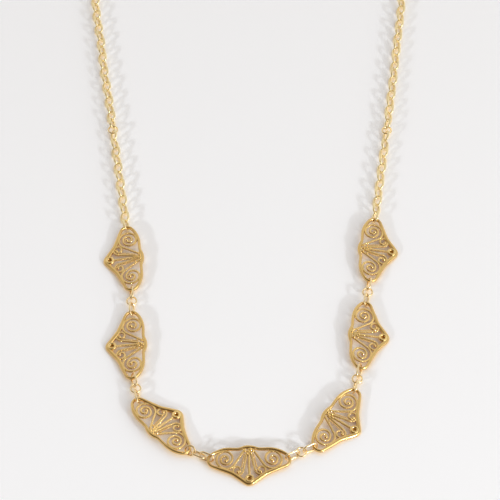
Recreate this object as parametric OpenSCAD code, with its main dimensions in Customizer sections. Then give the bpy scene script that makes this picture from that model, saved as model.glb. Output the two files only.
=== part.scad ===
// Drapery necklace: seven pierced wire plaques linked into a festoon and carried by a fine cable chain.
// It lies as a closed loop on a flat surface, seen from above. Millimetres, +Z up. X runs to the right
// and Y away from the front plaque. The origin is on the surface, under the middle of the loop's box.

/* [Plaque] */
// Length of a plaque over its two ends
plaque_len = 20; // [19.9:0.05:20.05]
// Width of the plaque's border wire
frame_w = 0.7; // [0.68:0.01:0.72]
// Height of the plaque's border wire
frame_h = 0.8; // [0.75:0.01:0.82]
// Width of the scroll wire
scroll_w = 0.42; // [0.4:0.01:0.44]
// Height of the scroll wire
scroll_h = 0.6; // [0.5:0.01:0.65]
// Radius of the beads soldered at the root of the scrolls
bead_r = 0.38; // [0.34:0.01:0.4]
// Height of the plaque's ends above the surface, where links pass under them
end_lift = 0.7; // [0.68:0.01:0.72]

/* [Connecting links] */
// Length of an oval connecting link
link_len = 4.1; // [4.08:0.01:4.15]
// Width of an oval connecting link
link_w = 2.4; // [2.38:0.01:2.45]
// Wire of an oval connecting link
link_wire = 0.45; // [0.42:0.01:0.46]
// Outer diameter of a round ring
ring_d = 2.8; // [2.75:0.01:2.85]
// Wire of a round ring
ring_wire = 0.42; // [0.4:0.01:0.44]

/* [Chain] */
// Length of a chain link
chain_len = 3.82; // [3.8:0.01:3.84]
// Width of a chain link
chain_w = 2.6; // [2.55:0.01:2.65]
// Wire of a chain link
chain_wire = 0.5; // [0.46:0.01:0.5]
// Angle of a chain link's plane to the surface, turned to each side in turn
chain_roll = 45; // [42:1:48]
// The same angle beside a ring, a plaque or the clasp
end_roll = 60; // [57:1:63]
// Play that a run of chain has at each of its ends
end_play = 0.27; // [0.25:0.01:0.29]

/* [Clasp] */
// Diameter of the clasp's barrel
clasp_d = 3.4; // [3:0.1:4]
// Length of the clasp's barrel
clasp_len = 7; // [6:0.5:8]

/* [Hidden] */
$fn = 48;
half_len = plaque_len / 2;

// Radius of a plaque's round ends along the middle of the wire, and where they are centred
end_r = 1.65;
end_x = half_len - frame_w / 2 - end_r;

// Round rings lie flat at this height, threaded by the links beside them
ring_z = 1.05;
ring_r = (ring_d - ring_wire) / 2;

// Eyelets at the ends of the clasp
eyelet_r = 1;
eyelet_z = 1.25;
eyelet_x = clasp_len / 2 + eyelet_r - chain_wire / 2;

// From the middle of a round end, a ring or an eyelet to the inside of its wire
rim_reach = end_r - frame_w / 2;
ring_reach = ring_r - ring_wire / 2;
eyelet_reach = eyelet_r - chain_wire / 2;

// Middle of the loop's box, on the axes that the places below are given on
loop_middle = [-1.91, 24.67];

// Plaques, from the left shoulder round the front to the right shoulder
// name, x, y, heading of the plaque's long axis
PLAQUES = [
  ["plaque_left_1", -30.3, -4.2, -83],
  ["plaque_left_2", -28.3, -30.2, -86.5],
  ["plaque_left_3", -20.3, -53.1, 133.3],
  ["plaque_centre", 0.85, -61.85, 2.3],
  ["plaque_right_3", 21.55, -50.3, 59.9],
  ["plaque_right_2", 28.2, -25.9, 86],
  ["plaque_right_1", 30.9, 0.1, 85.5]];

// Which end of a plaque faces the one before it and the one after it along the festoon
BEFORE = [-1, -1, 1, -1, -1, -1, -1];
AFTER = [1, 1, -1, 1, 1, 1, 1];

// Joins between neighbouring plaques, three pieces each
// names, place of the round ring in the row, angle of each piece to the surface, share of the join's
// play before each piece
JOINS = [
  [["link_left_1_lower", "ring_left_1_2", "link_left_2_upper"], 1, [75, 0, -60], [0.34, 0.18, 0.18]],
  [["link_left_2_lower", "ring_left_2_3", "link_left_3_outer"], 1, [60, 0, -65], [0.38, 0.16, 0.16]],
  [["ring_left_3_inner", "link_left_3_centre", "link_centre_left"], 0, [50, -35, 65], [0.16, 0.1, 0.49]],
  [["link_centre_right", "ring_right_3_centre", "link_right_3_inner"], 1, [75, 0, 75], [0.3, 0.2, 0.2]],
  [["link_right_3_outer", "ring_right_2_3", "link_right_2_lower"], 1, [-70, 0, 70], [0.3, 0.18, 0.18]],
  [["link_right_2_upper", "ring_right_1_2", "link_right_1_lower"], 1, [65, 0, -65], [0.38, 0.16, 0.16]]];

// Rings that part each chain, and the clasp, where they lie
RING_LEFT = [-36.75, 37.35];
RING_RIGHT = [35.35, 39.2];
CLASP = [-2, 116];

// Links in each run of chain
LOWER_LEFT = 12;
LOWER_RIGHT = 11;
UPPER_LEFT = 40;
UPPER_RIGHT = 40;

// Way of the upper chains from the ring to the clasp
WAY_LEFT = [[-38.4, 47.65], [-40.3, 58], [-41.8, 68.4], [-43.2, 76.1], [-44.2, 84], [-44.5, 92],
            [-42, 101], [-35, 109], [-25, 113.5], [-14, 115.5]];
WAY_RIGHT = [[36.6, 49.8], [37.8, 60.2], [38.9, 70.7], [39.9, 79.5], [40.5, 86.5], [40.7, 93],
             [38.8, 101.5], [32, 109.5], [22, 114], [10, 115.6]];

// Right side of the plaque's border, from the round of the tip to the bow at the top
// radius and turn of an arc, or length and 0 for a straight
tip_r = 1.5;
tip_turn = 37;
bend_turn = 14;
bow_r = 4;
bow_turn = 24;
FLANK = [[3.15, 0], [6, -bend_turn]];
ENDS = [[end_r, 90 - tip_turn + bend_turn], [end_r, 50]];
SHOULDER = [6.775, 40];
DIP = [3, -bow_turn];

// Large scroll: where its stem starts, where its first arc is centred, then radius and turn of each arc.
// The first row gives the heading that its arc ends at
LARGE_ROOT = [0.55, 3.1];
LARGE_EYE = [5.45, 0.1];
LARGE_ARCS = [[2.3, 90], [2.1, 90], [1.7, 90], [1.55, 90], [1.35, 90], [1.2, 90], [1, 90], [0.85, 90],
              [0.65, 90], [0.45, 90]];

// Small scroll, in the same way
SMALL_ROOT = [0.3, 2.6];
SMALL_EYE = [2.8, -2.15];
SMALL_ARCS = [[1.45, 0], [1.1, 90], [0.95, 90], [0.8, 90], [0.65, 90], [0.45, 90], [0.3, 90]];

// Eye at the foot of the middle stem: centre and radius
FOOT_EYE = [0, -4.95];
foot_r = 0.72;

// Share of a wire's width that its broken corners take
corner = 0.22;

// How far one stretch of a wire reaches into the next, and by how much it is thinner
lap = 0.04;
thin = 0.003;

// Beads at the root: how high they start, how tall they are, and share of the radius that is flat
bead_foot = 0.15;
bead_h = 0.75;
bead_flat = 0.6;
ROOT_BEADS = [[0, 2.15], [-0.45, 2.8], [0.45, 2.8]];

// Steps from one given point of a chain's way to the next, and the stretch that gives a link's heading
way_steps = 8;
heading_len = 1.2;

// A path is a list of arcs and straights, as rows; a state is x, y and heading
function walked(s, row) =
  let (side = sign(row[1]), a = s[2], b = s[2] + row[1])
  row[1] == 0 ? [s[0] + row[0] * cos(a), s[1] + row[0] * sin(a), a]
  : [s[0] + side * row[0] * (sin(b) - sin(a)), s[1] - side * row[0] * (cos(b) - cos(a)), b];
function state(start, rows, i) = i == 0 ? start : walked(state(start, rows, i - 1), rows[i - 1]);
function gone(rows, heading) = state([0, 0, heading], rows, len(rows));

// Heading and length of the straight from a point that meets a circle on its right-hand side
function tangent_turn(p, c, r) = atan2(c[1] - p[1], c[0] - p[0]) - asin(r / norm(c - p));
function tangent_len(p, c, r) = sqrt(pow(norm(c - p), 2) - r * r);

// One straight of the flank and one of the top are as long as closes the border
tip_out = gone([[tip_r, tip_turn]], 0);
short_flank = gone(concat(FLANK, [ENDS[0]]), tip_turn);
flank_straight = (half_len - frame_w / 2 - tip_out[0] - short_flank[0]) / cos(tip_turn - bend_turn);
lower_side = concat(FLANK, [[flank_straight, 0], ENDS[0]]);
upper_out = gone([ENDS[1], SHOULDER], 90)[0] + gone([DIP, [bow_r, bow_turn]], 180)[0];
top_straight = half_len - frame_w / 2 + upper_out;
SIDE = concat(lower_side, [ENDS[1], SHOULDER, [top_straight, 0], DIP]);
BORDER = concat([[tip_r, 2 * tip_turn]], SIDE, [[bow_r, 2 * bow_turn]],
                [for (i = [len(SIDE) - 1:-1:0]) SIDE[i]]);

// Foot of the tip, and the lean that lets it rest on the surface
tip_y = -tip_out[1] - gone(lower_side, tip_turn)[1];
tilt = asin(end_lift / (frame_w / 2 - tip_y));

// Section of a wire, its corners broken
module section(w, h) {
  c = w * corner;
  polygon([[w / 2 - c, 0], [w / 2, c], [w / 2, h - c], [w / 2 - c, h],
           [c - w / 2, h], [-w / 2, h - c], [-w / 2, c], [c - w / 2, 0]]);
}

// One stretch of a wire from a state; over is how far it runs past both of its ends
module stretch(s, row, w, h, over = 0) {
  side = sign(row[1]);
  over_turn = over / row[0] * 180 / PI;
  if (row[1] == 0)
    translate([s[0], s[1], 0]) rotate([90, 0, s[2] + 90])
      translate([0, 0, -over]) linear_extrude(row[0] + 2 * over) section(w, h);
  else
    translate([s[0] - side * row[0] * sin(s[2]), s[1] + side * row[0] * cos(s[2]), 0])
      rotate([0, 0, s[2] - side * 90 + min(row[1], 0) - over_turn])
        rotate_extrude(angle = abs(row[1]) + 2 * over_turn) translate([row[0], 0]) section(w, h);
}

// A wire bent along a path. Every other stretch is a hair thinner and reaches a little into its
// neighbours, which makes the wire one solid
module wire_path(start, rows, w, h)
  for (i = [0:len(rows) - 1])
    if (i % 2 == 0) stretch(state(start, rows, i), rows[i], w, h);
    else translate([0, 0, thin]) stretch(state(start, rows, i), rows[i], w - 2 * thin, h - 2 * thin, lap);

// A scroll of flat wire from its root: a straight stem, then arcs that close in
module scroll(root, eye, arcs) {
  heading = tangent_turn(root, eye, arcs[0][0]);
  stem = [tangent_len(root, eye, arcs[0][0]), 0];
  first = [arcs[0][0], arcs[0][1] - heading];
  wire_path([root[0], root[1], heading], concat([stem, first], [for (i = [1:len(arcs) - 1]) arcs[i]]),
            scroll_w, scroll_h);
}

// A soldered bead, flattened and with its edges broken
module bead() rotate_extrude()
  polygon([[0, 0], [bead_r * bead_flat, 0], [bead_r, bead_h / 4], [bead_r, bead_h * 3 / 4],
           [bead_r * bead_flat, bead_h], [0, bead_h]]);

// One plaque, flat, its long axis on X and its tip towards -Y
module plaque_flat() {
  union() {
    wire_path([-tip_out[0], tip_y + tip_out[1], -tip_turn], BORDER, frame_w, frame_h);
    translate([0, 0, (frame_h - scroll_h) / 2]) {
      for (side = [0, 1]) mirror([side, 0, 0]) {
        scroll(LARGE_ROOT, LARGE_EYE, LARGE_ARCS);
        scroll(SMALL_ROOT, SMALL_EYE, SMALL_ARCS);
      }
      stretch([0, LARGE_ROOT[1], -90], [LARGE_ROOT[1] - FOOT_EYE[1] - foot_r, 0], scroll_w, scroll_h);
      translate(FOOT_EYE) rotate_extrude() translate([foot_r, 0]) section(scroll_w, scroll_h);
    }
    for (b = ROOT_BEADS) translate([b[0], b[1], bead_foot]) bead();
  }
}

// It leans on its tip, with both ends over the links that pass under them
module plaque(i) color("gold")
  translate([PLAQUES[i][1], PLAQUES[i][2], end_lift]) rotate([0, 0, PLAQUES[i][3]]) rotate([tilt, 0, 0])
    plaque_flat();

// Round wire bent to an oval with straight sides, lying in its own plane, long side on X
module oval(l, w, d) {
  r = (w - d) / 2;
  s = (l - w) / 2;
  for (side = [0, 1]) mirror([side, 0, 0])
    translate([s, 0, 0]) rotate([0, 0, -90]) rotate_extrude(angle = 180) translate([r, 0]) circle(d = d);
  for (side = [-1, 1])
    translate([-s, side * r, 0]) rotate([0, 90, 0]) cylinder(d = d, h = 2 * s);
}

// Round wire bent to a ring
module round_ring(r, d) rotate_extrude() translate([r, 0]) circle(d = d);

// A piece with its centre at p and z, its long side along a heading and its plane turned about that
module laid(p, z, heading, roll)
  translate([p[0], p[1], z]) rotate([0, 0, heading]) rotate([roll, 0, 0]) children();

// Height of a rolled link's centre whose lower side rests on the surface
function rest_z(w, d, roll) = d / 2 + (w - d) / 2 * sin(abs(roll));

function turn(a) = [cos(a), sin(a)];
function end_centre(i, side) = [PLAQUES[i][1], PLAQUES[i][2]] + side * end_x * turn(PLAQUES[i][3]);

// One of the three pieces that join plaque i to the next
module join_piece(i, k) {
  a = end_centre(i, AFTER[i]);
  b = end_centre(i + 1, BEFORE[i + 1]);
  u = (b - a) / norm(b - a);
  ring_at = JOINS[i][1];
  roll = JOINS[i][2][k];
  share = JOINS[i][3];
  inside = [for (n = [0:2]) n == ring_at ? ring_d - 2 * ring_wire : link_len - 2 * link_wire];
  play = inside[0] + inside[1] + inside[2] - frame_w - (norm(b - a) - 2 * end_r);
  used = share[0] + (k > 0 ? share[1] : 0) + (k > 1 ? share[2] : 0);
  passed = (k > 0 ? inside[0] : 0) + (k > 1 ? inside[1] : 0);
  at = a + u * (rim_reach - used * play + passed + inside[k] / 2);
  heading = atan2(u[1], u[0]);
  color("gold")
    if (k == ring_at) laid(at, roll == 0 ? ring_z : rest_z(ring_d, ring_wire, roll), heading, roll)
      round_ring(ring_r, ring_wire);
    else laid(at, rest_z(link_w, link_wire, roll), heading, roll) oval(link_len, link_w, link_wire);
}

// Points along a smooth way through a list of points, and the place at a distance along it
function between(p, i, t) =
  let (a = p[max(i - 1, 0)], b = p[i], c = p[i + 1], d = p[min(i + 2, len(p) - 1)])
  0.5 * (2 * b + t * (c - a) + t * t * (2 * a - 5 * b + 4 * c - d) + t * t * t * (3 * b - a - 3 * c + d));
function smooth(p) =
  concat([for (i = [0:len(p) - 2]) for (k = [0:way_steps - 1]) between(p, i, k / way_steps)],
         [p[len(p) - 1]]);
function lengths(p, i = 1, sum = [0]) =
  i == len(p) ? sum : lengths(p, i + 1, concat(sum, [sum[i - 1] + norm(p[i] - p[i - 1])]));
function place(p, l, s, i = 1) =
  i == len(p) - 1 || l[i] >= s ? p[i - 1] + (p[i] - p[i - 1]) * (s - l[i - 1]) / (l[i] - l[i - 1])
  : place(p, l, s, i + 1);

// A run of n chain links along a way. It hooks over wires whose insides lie before and after inside
// the way's ends; lean is the side that its first link rolls to
module chain(points, n, before, after, lean) {
  way = smooth(points);
  l = lengths(way);
  inside = chain_len - 2 * chain_wire;
  play = (n * inside - (l[len(l) - 1] - before - after) - 2 * end_play) / (n - 1);
  color("gold") for (i = [0:n - 1]) {
    s = before - end_play + inside / 2 + i * (inside - play);
    ahead = place(way, l, s + heading_len / 2) - place(way, l, s - heading_len / 2);
    at_end = i == 0 || i == n - 1;
    roll = (at_end ? end_roll : chain_roll) * (i % 2 == 0 ? lean : -lean);
    laid(place(way, l, s), rest_z(chain_w, chain_wire, roll), atan2(ahead[1], ahead[0]), roll)
      oval(chain_len, chain_w, chain_wire);
  }
}

module chain_left_lower()
  chain([end_centre(0, BEFORE[0]), RING_LEFT], LOWER_LEFT, rim_reach, ring_reach, 1);
module chain_right_lower()
  chain([end_centre(6, AFTER[6]), RING_RIGHT], LOWER_RIGHT, rim_reach, ring_reach, -1);
module chain_left_upper()
  chain(concat([RING_LEFT], WAY_LEFT, [CLASP - [eyelet_x, 0]]), UPPER_LEFT, ring_reach, eyelet_reach, 1);
module chain_right_upper()
  chain(concat([RING_RIGHT], WAY_RIGHT, [CLASP + [eyelet_x, 0]]), UPPER_RIGHT, ring_reach, eyelet_reach, -1);

// Ring between two runs of chain
module chain_ring(p) color("gold") translate([p[0], p[1], ring_z]) round_ring(ring_r, ring_wire);

// Plain barrel with an eyelet at each end
module clasp() color("gold") translate([CLASP[0], CLASP[1], 0]) {
  translate([0, 0, clasp_d / 2]) rotate([0, 90, 0]) cylinder(d = clasp_d, h = clasp_len, center = true);
  for (side = [-1, 1]) translate([side * eyelet_x, 0, eyelet_z]) round_ring(eyelet_r, chain_wire);
}

translate([-loop_middle[0], -loop_middle[1], 0]) {
  for (i = [0:6]) plaque(i);
  for (i = [0:5], k = [0:2]) join_piece(i, k);
  chain_left_lower();
  chain_ring(RING_LEFT);  // ring_left
  chain_left_upper();
  clasp();
  chain_right_upper();
  chain_ring(RING_RIGHT);  // ring_right
  chain_right_lower();
}
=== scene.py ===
# Drapery necklace: seven pierced wire plaques linked into a festoon and carried by a fine cable chain.
# It lies as a closed loop on a pale surface. Pieces are shaped in millimetres and placed in metres.
import math
import random

import bmesh
import bpy
import numpy as np
from mathutils import Matrix, Vector, noise


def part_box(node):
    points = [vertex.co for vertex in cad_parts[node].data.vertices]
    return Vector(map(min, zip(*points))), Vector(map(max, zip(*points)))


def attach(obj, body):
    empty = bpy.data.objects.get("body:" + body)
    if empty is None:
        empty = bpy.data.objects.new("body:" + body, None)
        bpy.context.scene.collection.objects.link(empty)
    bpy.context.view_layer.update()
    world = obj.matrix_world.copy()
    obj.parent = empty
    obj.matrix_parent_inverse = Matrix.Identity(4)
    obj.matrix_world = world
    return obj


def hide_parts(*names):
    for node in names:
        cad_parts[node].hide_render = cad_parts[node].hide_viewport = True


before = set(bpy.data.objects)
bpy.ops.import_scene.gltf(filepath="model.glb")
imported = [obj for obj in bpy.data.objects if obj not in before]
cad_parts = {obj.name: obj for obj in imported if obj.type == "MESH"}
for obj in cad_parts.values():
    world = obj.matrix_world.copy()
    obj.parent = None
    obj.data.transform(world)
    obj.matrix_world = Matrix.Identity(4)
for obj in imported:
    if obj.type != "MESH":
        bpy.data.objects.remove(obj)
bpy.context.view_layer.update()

# Border of a plaque: one length of half-round gold wire, bent by hand over a former to a shallow bow,
# two round ends and a blunt tip, and soldered shut. It is hammered a little wider along the flanks, at
# the shoulders and at the bow. Painted shade makes it a shade darker than the fine wires soldered inside
# it.
mm = 0.001
weld = 0.001
plaque_len = 20
frame_w = 0.7
frame_h = 0.8
tip_r = 1.5
tip_turn = math.radians(37)
bend_turn = math.radians(14)
end_r = 1.65
bow_r = 4
bow_turn = math.radians(24)
flank = [(3.15, 0), (6, -bend_turn)]
lower_end = (end_r, math.radians(90) - tip_turn + bend_turn)
upper_end = [(end_r, math.radians(50)), (6.775, math.radians(40))]
dip = (3, -bow_turn)
flank_swell = 0.32
flank_end = 9
flank_fade = 4
bow_swell = 0.24
bow_half = 1.7
shoulder_swell = 0.14
shoulder_x = 6.8
shoulder_half = 1.5
round_top = 2.15
square_foot = 6
border_sides = 20
border_step = 0.22
border_painted_shade = 0.35


def walked(place, row):
    """Place and heading after a row: an arc's radius and turn, or a straight's length and 0."""
    x, y, a = place
    size, turn = row
    if turn == 0:
        return x + size * math.cos(a), y + size * math.sin(a), a
    side = math.copysign(size, turn)
    b = a + turn
    return x + side * (math.sin(b) - math.sin(a)), y - side * (math.cos(b) - math.cos(a)), b


def gone(rows, heading):
    """Place and heading at the end of a path that starts at 0, 0."""
    place = (0, 0, heading)
    for row in rows:
        place = walked(place, row)
    return place


def along(place, rows, step):
    """Places about a step apart along the rows of a path, from its start to its end."""
    places = [place]
    for size, turn in rows:
        parts = max(1, round(size * (abs(turn) or 1) / step))
        for _ in range(parts):
            place = walked(place, (size, turn / parts) if turn else (size / parts, 0))
            places.append(place)
    return places


def standing(place, z, width, height, twist=0.0):
    """Frame of a wire's unit section at a place: width across the wire, height above the plaque."""
    x, y, a = place
    return (Matrix.Translation((x, y, z)) @ Matrix.Rotation(a, 4, "Z")
            @ Matrix.Diagonal((1, width / 2, height / 2, 1)) @ Matrix.Rotation(twist, 4, "X"))


def unit_section(sides, shape):
    """A bmesh with a ring of unit size across X. shape gives the share of its radius at an angle.

    Its layer tells the gold how dark and dull it is, from 0 to 1: patina in the twists, and painted shade
    down the sides of the wires, on the border and in the eye.
    """
    bm = bmesh.new()
    bm.verts.layers.float.new("patina_and_shade")
    bmesh.ops.create_circle(bm, segments=sides, radius=1)
    for v in bm.verts:
        a = math.atan2(v.co.y, v.co.x)
        v.co = Vector((0, math.cos(a), math.sin(a))) * shape(a)
    return bm


def draw(bm, frames):
    """Draws the ring of a section along a list of frames into a wire."""
    ring = bm.edges[:]
    bmesh.ops.transform(bm, matrix=frames[0], verts=bm.verts)
    for before, after in zip(frames, frames[1:]):
        made = bmesh.ops.extrude_edge_only(bm, edges=ring)["geom"]
        ring = [g for g in made if isinstance(g, bmesh.types.BMEdge)]
        verts = [g for g in made if isinstance(g, bmesh.types.BMVert)]
        bmesh.ops.transform(bm, matrix=after @ before.inverted(), verts=verts)


def solder(piece, part):
    """Adds a finished part to the piece that carries it."""
    mesh = bpy.data.meshes.new("part")
    part.to_mesh(mesh)
    part.free()
    piece.from_mesh(mesh)
    bpy.data.meshes.remove(mesh)


def pillow(power):
    """Section between an oval and a rectangle: the higher the power, the squarer."""
    return lambda a: (abs(math.cos(a)) ** power + abs(math.sin(a)) ** power) ** (-1 / power)


def half_round(a):
    """Section that is softly rounded above and square below."""
    return pillow(round_top if math.sin(a) > 0 else square_foot)(a)


def swell(x, y):
    """How much wider than its wire the border is at a point."""
    if y > 0:
        at_bow = math.exp(-(x / bow_half) ** 2)
        at_shoulder = math.exp(-((abs(x) - shoulder_x) / shoulder_half) ** 2)
        return bow_swell * at_bow + shoulder_swell * at_shoulder
    share = min(max((flank_end - abs(x)) / flank_fade, 0), 1)
    return flank_swell * share * share * (3 - 2 * share)


tip_out = gone([(tip_r, tip_turn)], 0)
end_reach = plaque_len / 2 - frame_w / 2
short_flank = gone(flank + [lower_end], tip_turn)
flank_straight = (end_reach - tip_out[0] - short_flank[0]) / math.cos(tip_turn - bend_turn)
lower_side = flank + [(flank_straight, 0), lower_end]
bow_side = gone([dip, (bow_r, bow_turn)], math.pi)
top_straight = end_reach + gone(upper_end, math.pi / 2)[0] + bow_side[0]
side = lower_side + upper_end + [(top_straight, 0), dip]
border_rows = [(tip_r, 2 * tip_turn)] + side + [(bow_r, 2 * bow_turn)] + side[::-1]
tip_y = -tip_out[1] - gone(lower_side, tip_turn)[1]
border_start = (-tip_out[0], tip_y + tip_out[1], -tip_turn)

plaque = bmesh.new()
border = unit_section(border_sides, half_round)
border_frames = []
for p in along(border_start, border_rows, border_step):
    more = swell(*p[:2])
    inward = Matrix.Translation((-math.sin(p[2]) * more / 2, math.cos(p[2]) * more / 2, 0))
    border_frames.append(inward @ standing(p, frame_h / 2, frame_w + more, frame_h))
draw(border, border_frames)
# Painted shade: the whole border is darker and duller than the fine wires.
border_painted_shade_layer = border.verts.layers.float["patina_and_shade"]
for v in border.verts:
    v[border_painted_shade_layer] = border_painted_shade
bmesh.ops.remove_doubles(border, verts=border.verts, dist=weld)
solder(plaque, border)

# Scrolls of a plaque: two fine wires twisted together and rolled flat, then wound on edge into two
# large and two small scrolls, each closed on a small ball. Their stems fan out from under the bow,
# beside a middle one that ends in a small ring, the eye, over a thin dark disc of painted shade.
scroll_w = 0.64
scroll_h = 0.7
scroll_foot = 0.1
rolled_top = 0.63
unrolled = 1.1
lay = 0.36
twist_step = 0.072
strand_sides = 12
strand_dip = 0.76
twist_dark = 0.7
side_painted_shade = 0.9
rolled_dark = 0.1
large_root = Vector((0.75, 3))
large_eye = Vector((5.4, 0.1))
large_radii = [2.3, 2.1, 1.7, 1.6, 1.2, 0.95, 0.75, 0.5]
large_ball = 0.44
small_root = Vector((0.35, 2.4))
small_eye = Vector((2.75, -2.4))
small_radii = [1.35, 1.1, 0.95, 0.8, 0.55]
small_w = 0.6
small_ball = 0.42
ball_z = 0.48
ball_squash = 0.85
stem_w = 0.7
stem_top = 0.65
foot_eye = Vector((0, -4.85))
foot_r = 0.79
eye_w = 0.76
eye_h = 0.78
eye_sides = 10
eye_round = 2.2
eye_step = 0.16
shade_disc_inset = 0.1
shade_disc_rise = 0.14
eye_painted_shade = 0.8


def twisted_wire(places, width, flat_top):
    """A pair of strands twisted together, laid on edge along places and rolled flat."""
    bm = unit_section(strand_sides, lambda a: max(abs(math.cos(a)), strand_dip))
    patina_and_shade = bm.verts.layers.float["patina_and_shade"]
    for v in bm.verts:
        v[patina_and_shade] = twist_dark * (1 - (v.co.length - strand_dip) / (1 - strand_dip))
    run = 0.0
    z = scroll_foot + scroll_h / 2
    frames = []
    for before, here in zip([places[0]] + places, places):
        run += math.dist(before[:2], here[:2])
        frames.append(standing(here, z, width, scroll_h * unrolled, math.pi * run / lay))
    draw(bm, frames)
    bmesh.ops.holes_fill(bm, edges=bm.edges, sides=0)
    for v in bm.verts:
        if v.co.z > flat_top:
            v[patina_and_shade] *= rolled_dark
        v.co.z = min(max(v.co.z, scroll_foot), flat_top)
        # Painted shade: the sides of the wire grow darker and duller towards its foot.
        v[patina_and_shade] = max(v[patina_and_shade], side_painted_shade * (flat_top - v.co.z) / (flat_top - scroll_foot))
    return bm


def scroll(root, eye, radii, heading):
    """Places along a straight stem from its root and a scroll whose first arc ends at a heading."""
    reach = eye - root
    a = math.atan2(reach.y, reach.x) - math.asin(radii[0] / reach.length)
    stem = (math.sqrt(reach.length ** 2 - radii[0] ** 2), 0)
    rows = [stem, (radii[0], heading - a)] + [(r, math.pi / 2) for r in radii[1:]]
    return along((root.x, root.y, a), rows, twist_step)


def granule(bm, x, y, z, r):
    """Solders on a ball of gold, a little flattened."""
    ball = bmesh.new()
    bmesh.ops.create_uvsphere(ball, u_segments=14, v_segments=9, radius=r)
    bmesh.ops.scale(ball, vec=(1, 1, ball_squash), verts=ball.verts)
    bmesh.ops.translate(ball, vec=(x, y, z), verts=ball.verts)
    solder(bm, ball)


half = bmesh.new()
for root, eye, radii, heading, width, ball_r in (
        (large_root, large_eye, large_radii, math.pi / 2, scroll_w, large_ball),
        (small_root, small_eye, small_radii, 0, small_w, small_ball)):
    places = scroll(root, eye, radii, heading)
    solder(half, twisted_wire(places, width, rolled_top))
    granule(half, places[-1][0], places[-1][1], ball_z, ball_r)
other_half = half.copy()
bmesh.ops.scale(other_half, vec=(-1, 1, 1), verts=other_half.verts)
solder(plaque, half)
solder(plaque, other_half)
stem_len = large_root.y - foot_eye.y - foot_r
stem = along((0, large_root.y, -math.pi / 2), [(stem_len, 0)], twist_step)
solder(plaque, twisted_wire(stem, stem_w, stem_top))
eye_ring = unit_section(eye_sides, pillow(eye_round))
eye_places = along((foot_eye.x, foot_eye.y - foot_r, 0), [(foot_r, 2 * math.pi)], eye_step)
draw(eye_ring, [standing(p, scroll_foot + eye_h / 2, eye_w, eye_h) for p in eye_places])
bmesh.ops.remove_doubles(eye_ring, verts=eye_ring.verts, dist=weld)
solder(plaque, eye_ring)
# Painted shade: a thin dark disc low in the eye stands for the shade inside it.
eye_shade_disc = bmesh.new()
eye_shade_layer = eye_shade_disc.verts.layers.float.new("patina_and_shade")
bmesh.ops.create_circle(eye_shade_disc, cap_ends=True, segments=20, radius=foot_r - shade_disc_inset)
shade_disc_at = (foot_eye.x, foot_eye.y, scroll_foot + shade_disc_rise)
bmesh.ops.translate(eye_shade_disc, vec=shade_disc_at, verts=eye_shade_disc.verts)
for v in eye_shade_disc.verts:
    v[eye_shade_layer] = eye_painted_shade
solder(plaque, eye_shade_disc)

# Grains at the root of the scrolls: balls of gold soldered in a cluster where the stems meet under
# the bow, no two plaques quite alike, and a row of finer ones down the outer side of each small
# scroll's stem. The cluster gives each ball's place across and along the plaque and its radius.
cluster = [(0, 2.15, 0.38), (0.45, 2.8, 0.36), (0.45, 1.6, 0.34), (1.0, 2.35, 0.34), (1.3, 1.4, 0.26),
           (1.45, 2.75, 0.26), (0.0, 1.2, 0.3), (1.42, -2.75, 0.3)]
cluster_z = 0.6
cluster_share = 0.75
cluster_shift = 0.12
smallest = 0.75
largest = 1.05
row_start = Vector((1.05, 1.5))
row_end = Vector((1.78, -1.75))
row_grains = 12
row_r = 0.17


def cluster_grains(bm, chance):
    """Solders most of the cluster's balls to a plaque, each a little off its place and size."""
    for x, y, r in cluster:
        for side_x in sorted({x, -x}):
            shift = [chance.uniform(-cluster_shift, cluster_shift) for _ in range(2)]
            size = r * chance.uniform(smallest, largest)
            if chance.random() < cluster_share:
                granule(bm, side_x + shift[0], y + shift[1], cluster_z, size)


for i in range(row_grains):
    at = row_start.lerp(row_end, i / (row_grains - 1))
    for side_x in (at.x, -at.x):
        granule(plaque, side_x, at.y, ball_z, row_r)
bmesh.ops.recalc_face_normals(plaque, faces=plaque.faces)

# The plaques: gold of a warm yellow colour, dark with patina in its twists, painted darker down the
# sides of its wires as painted shade, and bright where it was rolled flat. Seven alike, each a little
# uneven from the hand, lean on their tips with their ends lifted over the links.
end_lift = 0.7
tilt = math.asin(end_lift / (frame_w / 2 - tip_y))
headings = {"plaque_left_1": -83, "plaque_left_2": -86.5, "plaque_left_3": 133.3, "plaque_centre": 2.3,
            "plaque_right_3": 59.9, "plaque_right_2": 86, "plaque_right_1": 85.5}
uneven = 0.05
uneven_scale = 0.35
uneven_apart = 7
uneven_seed = 7
patch_scale = 260
patch_shade = 0.86
patch_ends = (0.3, 0.7)
mark_scale = 900
mark_ends = (0.35, 0.7)
polished = 0.8
scuffed = 1.35
patina_and_shade_roughness = 0.4
bump_scale = 3200
bump_height = 0.03 * mm


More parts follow.
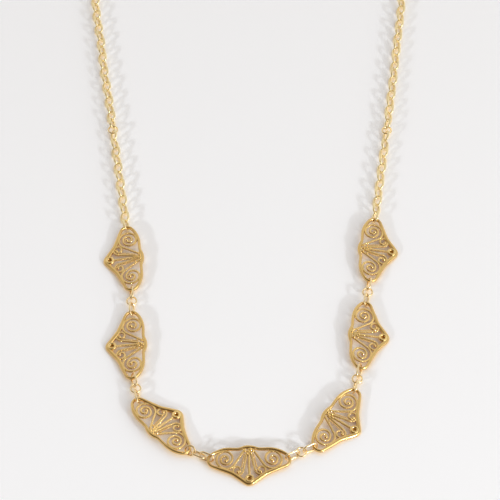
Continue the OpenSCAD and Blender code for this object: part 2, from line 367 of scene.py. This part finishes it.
def gold(name, colour, dark, roughness, grain):
    """Gold whose colour shifts in soft patches, darker and duller with patina and painted shade, with
    fine marks from handling.
    """
    mat = bpy.data.materials.new(name)
    mat.use_nodes = True
    nodes, links = mat.node_tree.nodes, mat.node_tree.links
    shader = nodes["Principled BSDF"]
    shader.inputs["Metallic"].default_value = 1
    coords = nodes.new("ShaderNodeTexCoord")
    patina_and_shade = nodes.new("ShaderNodeAttribute")
    patina_and_shade.attribute_name = "patina_and_shade"

    def field(scale, detail):
        made = nodes.new("ShaderNodeTexNoise")
        made.inputs["Scale"].default_value = scale
        made.inputs["Detail"].default_value = detail
        links.new(coords.outputs["Object"], made.inputs["Vector"])
        return made.outputs["Fac"]

    def ramp(source, ends, values):
        made = nodes.new("ShaderNodeValToRGB")
        for stop, at, value in zip(made.color_ramp.elements, ends, values):
            stop.position = at
            stop.color = (*value, 1)
        links.new(source, made.inputs["Fac"])
        return made.outputs["Color"]

    def with_patina_and_shade(outside, inside, socket):
        made = nodes.new("ShaderNodeMixRGB")
        links.new(patina_and_shade.outputs["Fac"], made.inputs["Fac"])
        links.new(outside, made.inputs["Color1"])
        made.inputs["Color2"].default_value = (*inside, 1)
        links.new(made.outputs["Color"], shader.inputs[socket])

    shades = [[c * patch_shade for c in colour], colour]
    # Patina and painted shade darken the colour by the layer.
    with_patina_and_shade(ramp(field(patch_scale, detail=3), patch_ends, shades), dark, "Base Color")
    handled = [[roughness * polished] * 3, [roughness * scuffed] * 3]
    marks = ramp(field(mark_scale, detail=4), mark_ends, handled)
    with_patina_and_shade(marks, [patina_and_shade_roughness] * 3, "Roughness")
    bump = nodes.new("ShaderNodeBump")
    bump.inputs["Strength"].default_value = grain
    bump.inputs["Distance"].default_value = bump_height
    links.new(field(bump_scale, detail=3), bump.inputs["Height"])
    links.new(bump.outputs["Normal"], shader.inputs["Normal"])
    return mat


def finished(name, bm, material):
    """A piece of the necklace as an object, smooth, riding on the one body."""
    mesh = bpy.data.meshes.new(name)
    bm.to_mesh(mesh)
    bm.free()
    mesh.shade_smooth()
    mesh.materials.append(material)
    piece = bpy.data.objects.new(name, mesh)
    bpy.context.scene.collection.objects.link(piece)
    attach(piece, "root")
    return piece


plaque_gold = gold("plaque_gold", colour=(1, 0.73, 0.31), dark=(0.5, 0.28, 0.07), roughness=0.12,
                   grain=0.08)
noise.seed_set(uneven_seed)
for n, (node, heading) in enumerate(headings.items()):
    bm = plaque.copy()
    cluster_grains(bm, random.Random(n))
    turned = Matrix.Rotation(math.radians(heading), 4, "Z") @ Matrix.Rotation(tilt, 4, "X")
    spots = [turned @ v.co for v in bm.verts]
    middle = Vector([(min(c) + max(c)) / 2 for c in list(zip(*spots))[:2]] + [0])
    low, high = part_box(node)
    centre = (low + high) / 2 / mm
    lift = Matrix.Translation((centre.x - middle.x, centre.y - middle.y, end_lift))
    for v in bm.verts:
        v.co += noise.noise_vector(v.co * uneven_scale + Vector((uneven_apart * n, 0, 0))) * uneven
    bmesh.ops.transform(bm, matrix=Matrix.Scale(mm, 4) @ lift @ turned, verts=bm.verts)
    piece = finished(node + "_wirework", bm, plaque_gold)
    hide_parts(node)
plaque.free()

# Connecting links and rings: round gold wire bent to ovals and rings and soldered shut. Each join
# between two plaques has two ovals and a ring, and a ring parts each side's chain. Their frames and
# sizes are read from the solids, link by link.
link_sides = 12
link_step = 0.28
shortest_straight = 0.05
spot_swell = 0.07
spot_tightness = 28
rub_power = 4
widening = 1.7
free_lean = 0.6
join_stout = 0.02


def laid_links(node):
    """Frame, length, width and wire of each closed link in a node, read from its solids."""
    bm = bmesh.new()
    bm.from_mesh(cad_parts[node].data)
    bmesh.ops.remove_doubles(bm, verts=bm.verts, dist=weld * mm)
    left = set(bm.verts)
    found = []
    for start in bm.verts:
        if start not in left:
            continue
        left.discard(start)
        link, edge = [start], [start]
        while edge:
            v = edge.pop()
            for e in v.link_edges:
                other = e.other_vert(v)
                if other in left:
                    left.discard(other)
                    link.append(other)
                    edge.append(other)
        spots = np.array([v.co for v in link]) / mm
        middle = spots.mean(0)
        axes = np.linalg.svd(spots - middle, full_matrices=False)[2]
        axes[2] = np.cross(axes[0], axes[1])
        flat = (spots - middle) @ axes.T
        size = np.ptp(flat, axis=0)
        middle = middle + (flat.min(0) + size / 2) @ axes
        found.append((Matrix.Translation(middle) @ Matrix(axes.T).to_4x4(), *size))
    bm.free()
    return sorted(found, key=lambda f: f[0].translation.y)


def bent_link(length, width, wire, seam, worn=0.0):
    """A link bent from round wire, thicker where it was soldered, at the share seam of its way.

    worn is the share of the wire that its neighbours have rubbed off at its two ends.
    """
    r = (width - wire) / 2
    straight = max(length - width, 0)
    rows = [(straight, 0), (r, math.pi)] * 2 if straight > shortest_straight else [(r, 2 * math.pi)]
    places = along((-straight / 2, -r, 0), rows, link_step)
    bm = unit_section(link_sides, lambda a: 1)
    frames = []
    for i, p in enumerate(places):
        off = (i / (len(places) - 1) - seam + 0.5) % 1 - 0.5
        rubbed = worn * (2 * p[0] / (length - wire)) ** rub_power
        thick = wire * (1 - rubbed + spot_swell * math.exp(-(off * spot_tightness) ** 2))
        frames.append(standing(p, 0, thick, thick))
    draw(bm, frames)
    bmesh.ops.remove_doubles(bm, verts=bm.verts, dist=2 * weld)
    bmesh.ops.recalc_face_normals(bm, faces=bm.faces)
    return bm


def relink(node, name, material, stout, worn=0.0, roll=0.0):
    """Replaces a node of links with the same links drawn wire by wire, a little stouter and wider.

    Links that stand free at half a right angle are rolled on round the chain, so that every second one
    lies more openly, and each is worn flat where it lies on the surface.
    """
    chance = random.Random(node)
    piece = bmesh.new()
    for placed, length, width, wire in laid_links(node):
        seam = chance.random()
        link = bent_link(length - 2 * stout, width + widening * stout, wire + stout, seam, worn)
        ahead, across = placed.col[0], placed.col[2]
        turn = math.copysign(roll, ahead.y) if abs(across.z) > free_lean else 0
        bmesh.ops.transform(link, matrix=placed @ Matrix.Rotation(turn, 4, "X"), verts=link.verts)
        for v in link.verts:
            v.co.z = max(v.co.z, 0)
        bmesh.ops.scale(link, vec=(mm, mm, mm), verts=link.verts)
        solder(piece, link)
    made = finished(name, piece, material)
    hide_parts(node)


link_gold = gold("link_gold", colour=(1, 0.8, 0.47), dark=(0.5, 0.3, 0.1), roughness=0.16, grain=0.1)
for node in [n for n in sorted(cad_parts) if n.startswith(("link_", "ring_"))]:
    relink(node, node + "_wire", link_gold, join_stout)

# Chains: fine cable chain of oval links, each turned a quarter to its neighbours, soldered shut and
# rubbed thin where it bears on them. A short run rises from each shoulder plaque to a ring, and a long
# one goes on round the neck.
chain_stout = 0.08
chain_worn = 0.33
chain_roll = math.radians(7)
chain_gold = gold("chain_gold", colour=(1, 0.84, 0.48), dark=(0.5, 0.3, 0.1), roughness=0.38, grain=0.1)
for node in [n for n in sorted(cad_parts) if n.startswith("chain_")]:
    relink(node, node + "_links", chain_gold, chain_stout, chain_worn, chain_roll)

# Clasp: a plain gold barrel with a fine seam round its middle and domed ends, and a soldered eyelet at
# each end that the last links of the chain pass through.
barrel_d = 3.4
barrel_len = 7
barrel_sides = 48
dome = 0.5
dome_curve = [(0, 0), (0.3, 0.62), (0.62, 0.86), (0.86, 0.97), (1, 1)]
seam_w = 0.12
eyelet_r = 1
eyelet_wire = 0.5
eyelet_z = 1.25
eyelet_seam = 0.25
low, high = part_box("clasp")
clasp_at = (low + high) / 2 / mm
barrel = bmesh.new()
wall = [(-barrel_len / 2 + x * dome, r * barrel_d / 2) for x, r in dome_curve]
wall += [(-seam_w, barrel_d / 2), (-seam_w / 2, barrel_d / 2 - seam_w / 2), (0, barrel_d / 2 - seam_w)]
wall += [(-x, r) for x, r in wall[-2::-1]]
corners = [barrel.verts.new((x, r, 0)) for x, r in wall]
for a, b in zip(corners, corners[1:]):
    barrel.edges.new((a, b))
bmesh.ops.spin(barrel, geom=barrel.verts[:] + barrel.edges[:], cent=(0, 0, 0), axis=(1, 0, 0),
               angle=2 * math.pi, steps=barrel_sides, use_merge=True)
bmesh.ops.remove_doubles(barrel, verts=barrel.verts, dist=weld)
bmesh.ops.translate(barrel, vec=(0, 0, barrel_d / 2), verts=barrel.verts)
eyelet_d = 2 * eyelet_r + eyelet_wire
for side_x in (-1, 1):
    eyelet = bent_link(eyelet_d, eyelet_d, eyelet_wire, eyelet_seam)
    at = side_x * (barrel_len / 2 + eyelet_r - eyelet_wire / 2)
    bmesh.ops.translate(eyelet, vec=(at, 0, eyelet_z), verts=eyelet.verts)
    solder(barrel, eyelet)
bmesh.ops.recalc_face_normals(barrel, faces=barrel.faces)
place = Matrix.Scale(mm, 4) @ Matrix.Translation((clasp_at.x, clasp_at.y, 0))
bmesh.ops.transform(barrel, matrix=place, verts=barrel.verts)
clasp_gold = gold("clasp_gold", colour=(0.94, 0.67, 0.29), dark=(0.5, 0.3, 0.1), roughness=0.22,
                  grain=0.2)
clasp = finished("clasp_barrel", barrel, clasp_gold)
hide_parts("clasp")

# Surface: a smooth pale board that the necklace lies on. It glows a little and is painted warmer and
# darker close to the gold: painted light for the light that the wires throw back on it, and painted
# shade.
board_half = 3
board_roughness = 0.7
board_glow = (0.95, 0.98, 1.05, 1)
glow_strength = 0.1
gold_reach = 2 * mm
board_tones = [(0.45, (1, 0.8, 0.5, 1)), (0.86, (0.915, 0.93, 0.96, 1))]
floor = bmesh.new()
bmesh.ops.create_grid(floor, x_segments=1, y_segments=1, size=board_half)
floor_mesh = bpy.data.meshes.new("surface")
floor.to_mesh(floor_mesh)
floor.free()
board = bpy.data.materials.new("board")
board.use_nodes = True
board_nodes, board_links = board.node_tree.nodes, board.node_tree.links
board_shader = board_nodes["Principled BSDF"]
board_shader.inputs["Roughness"].default_value = board_roughness
board_shader.inputs["Emission Color"].default_value = board_glow
board_shader.inputs["Emission Strength"].default_value = glow_strength
# Painted bounce light and shade: the board turns warmer and darker where the gold is close.
near = board_nodes.new("ShaderNodeAmbientOcclusion")
near.samples = 8
near.inputs["Distance"].default_value = gold_reach
painted_bounce_and_shade = board_nodes.new("ShaderNodeValToRGB")
for stop, (at, tone) in zip(painted_bounce_and_shade.color_ramp.elements, board_tones):
    stop.position = at
    stop.color = tone
board_links.new(near.outputs["AO"], painted_bounce_and_shade.inputs["Fac"])
board_links.new(painted_bounce_and_shade.outputs["Color"], board_shader.inputs["Base Color"])
floor_mesh.materials.append(board)
surface = bpy.data.objects.new("surface", floor_mesh)
bpy.context.scene.collection.objects.link(surface)

# Light: a pale tent lights the necklace from all round, with a dark opening high in front that the
# gold mirrors. A large soft box stands at the right, and two small low lamps in front draw the double
# shadows of the links. The tent's stops run from 0, opposite the opening, to 1, in the middle of it.
tent = [(0.45, (0.9, 0.895, 0.89)), (0.65, (0.78, 0.765, 0.74)), (0.75, (0.58, 0.53, 0.46)),
        (0.84, (0.52, 0.46, 0.38)), (0.89, (0.13, 0.085, 0.05))]
opening_side = Vector((-0.21, -0.58, 0.79)).normalized()
box_at = (0.9, -0.62, 0.62)
box_size = 1.2
box_power = 6.4
box_tint = (1, 0.99, 0.97)
low_at = Vector((0.85, -0.9, 0.41))
low_size = 0.09
low_power = 5.5
low_tint = (0.96, 1, 1.05)
world = bpy.data.worlds.new("room")
world.use_nodes = True
tree = world.node_tree
ways = tree.nodes.new("ShaderNodeTexCoord")
facing = tree.nodes.new("ShaderNodeVectorMath")
facing.operation = "DOT_PRODUCT"
facing.inputs[1].default_value = opening_side / 2
tree.links.new(ways.outputs["Generated"], facing.inputs[0])
share = tree.nodes.new("ShaderNodeMath")
share.inputs[1].default_value = 0.5
tree.links.new(facing.outputs["Value"], share.inputs[0])
opening = tree.nodes.new("ShaderNodeValToRGB")
for _ in tent[2:]:
    opening.color_ramp.elements.new(0.5)
for stop, (at, colour) in zip(opening.color_ramp.elements, tent):
    stop.position = at
    stop.color = (*colour, 1)
tree.links.new(share.outputs["Value"], opening.inputs["Fac"])
tree.links.new(opening.outputs["Color"], tree.nodes["Background"].inputs["Color"])
bpy.context.scene.world = world


def lamp(name, at, size, power, tint, mirrored):
    """A round soft lamp at a place, turned to the necklace. mirrored tells whether the gold shows it."""
    data = bpy.data.lights.new(name, "AREA")
    data.shape = "DISK"
    data.size = size
    data.energy = power
    data.color = tint
    made = bpy.data.objects.new(name, data)
    made.visible_glossy = mirrored
    made.location = at
    made.rotation_euler = (-Vector(at)).to_track_quat("-Z", "Y").to_euler()
    bpy.context.scene.collection.objects.link(made)


lamp("box_right", box_at, box_size, box_power, box_tint, True)
for hand in (-1, 1):
    lamp_at = (hand * low_at.x, low_at.y, low_at.z)
    lamp(f"lamp_{hand}", lamp_at, low_size, low_power, low_tint, hand == 1)

# Camera: it looks down on the festoon from in front at the photograph's angle, with a long lens and
# from about half a metre.
elevation = math.radians(54)
level = math.radians(1.25)
aim = Vector((1.91, -24.67, 0)) * mm
distance = 531.6
away = Vector((0, -math.cos(elevation), math.sin(elevation)))
camera = bpy.data.objects.new("camera", bpy.data.cameras.new("camera"))
camera.data.sensor_width = 36
camera.data.lens = 151.2
camera.data.clip_start = 0.01
camera.location = aim + away * distance * mm
camera.rotation_euler = (Matrix.Rotation(math.pi / 2 - elevation, 4, "X")
                         @ Matrix.Rotation(level, 4, "Z")).to_euler()
bpy.context.scene.collection.objects.link(camera)
bpy.context.scene.camera = camera
bpy.context.scene.view_settings.view_transform = "Standard"
